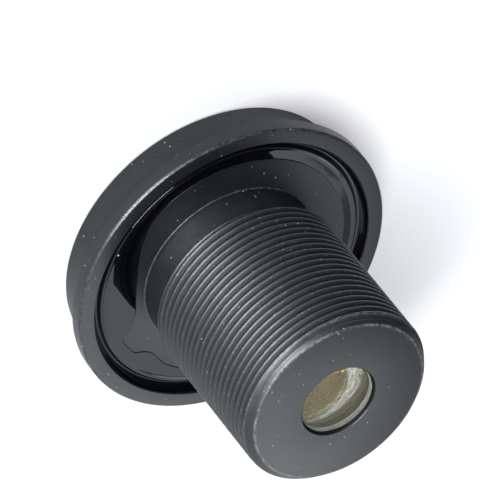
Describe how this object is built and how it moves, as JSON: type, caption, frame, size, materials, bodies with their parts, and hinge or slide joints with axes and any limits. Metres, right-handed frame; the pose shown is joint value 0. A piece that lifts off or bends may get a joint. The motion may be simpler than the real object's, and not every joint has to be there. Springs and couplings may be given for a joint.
{
  "type": "m12 board camera lens",
  "caption": "Small screw-in board camera lens: threaded black barrel with a wide round head, sealed front cap, stacked glass elements and a flat filter window at the sensor end.",
  "frame": {"origin": "Centre of the front rim, which the lens stands on, on the optical axis.", "axes": "+Z runs along the optical axis from the front rim to the sensor end. X and Y lie in the plane of the front rim; the smear of sealant on the flange lies towards +X and -Y."},
  "size_m": [0.02, 0.02, 0.0161],
  "materials": {
    "barrel_black": "matte black anodised aluminium, fine bead-blasted grain",
    "cap_black": "matte black anodised aluminium",
    "sealant": "glossy black sealant, cured as it flowed",
    "front_glass": "polished coated glass, edge ground",
    "inner_glass": "polished coated glass, edge ground",
    "filter_glass": "flat coated filter glass with a ground edge",
    "seal_rubber": "matte black rubber",
    "inner_black": "matte black anodised aluminium",
    "foil": "matte black film"
  },
  "bodies": {
    "root": {"lens_barrel": "barrel_black", "front_cap": "cap_black", "sealant_bead": "sealant", "front_element": "front_glass", "front_seal": "seal_rubber", "retaining_ring": "inner_black", "second_element": "inner_glass", "first_baffle": "foil", "first_spacer": "inner_black", "third_element": "inner_glass", "second_spacer": "inner_black", "fourth_element": "inner_glass", "third_spacer": "inner_black", "aperture_stop": "inner_black", "pair_spacer": "inner_black", "pair_front_element": "inner_glass", "pair_back_element": "inner_glass", "rear_baffle": "foil", "rear_spacer": "inner_black", "rear_element": "inner_glass", "rear_window": "filter_glass"}
  },
  "joints": []
}
